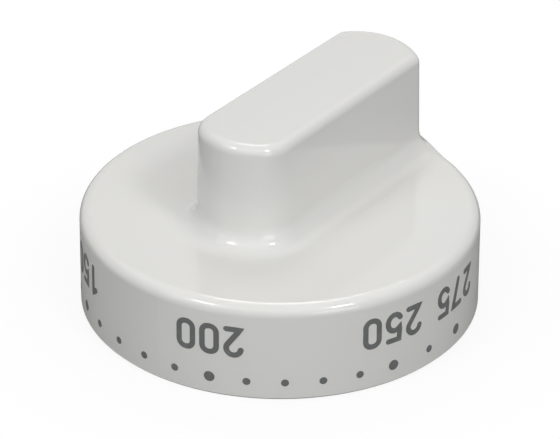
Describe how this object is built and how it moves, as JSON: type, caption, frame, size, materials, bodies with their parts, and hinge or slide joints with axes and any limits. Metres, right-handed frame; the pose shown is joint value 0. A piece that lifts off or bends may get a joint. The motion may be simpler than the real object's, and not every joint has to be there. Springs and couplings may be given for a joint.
{
  "type": "oven thermostat knob",
  "caption": "White moulded oven control knob: a round skirt printed with a temperature dial, a bar grip that points to its edge, and a D-shaped shaft socket with a spring underneath.",
  "frame": {"origin": "centre of the skirt's open rim, in the plane of the rim, on the shaft's axis", "axes": "+Z along the shaft from the oven's panel to the user; +Y from the shaft to the pointer end of the grip; +X to the right, seen from above with the pointer up"},
  "size_m": [0.05, 0.05, 0.0267],
  "materials": {
    "white_plastic": "glossy white moulding with dark grey print on the skirt",
    "spring_steel": "bright cold-rolled strip"
  },
  "bodies": {
    "root": {"knob_body": "white_plastic", "shaft_spring": "spring_steel"}
  },
  "joints": []
}
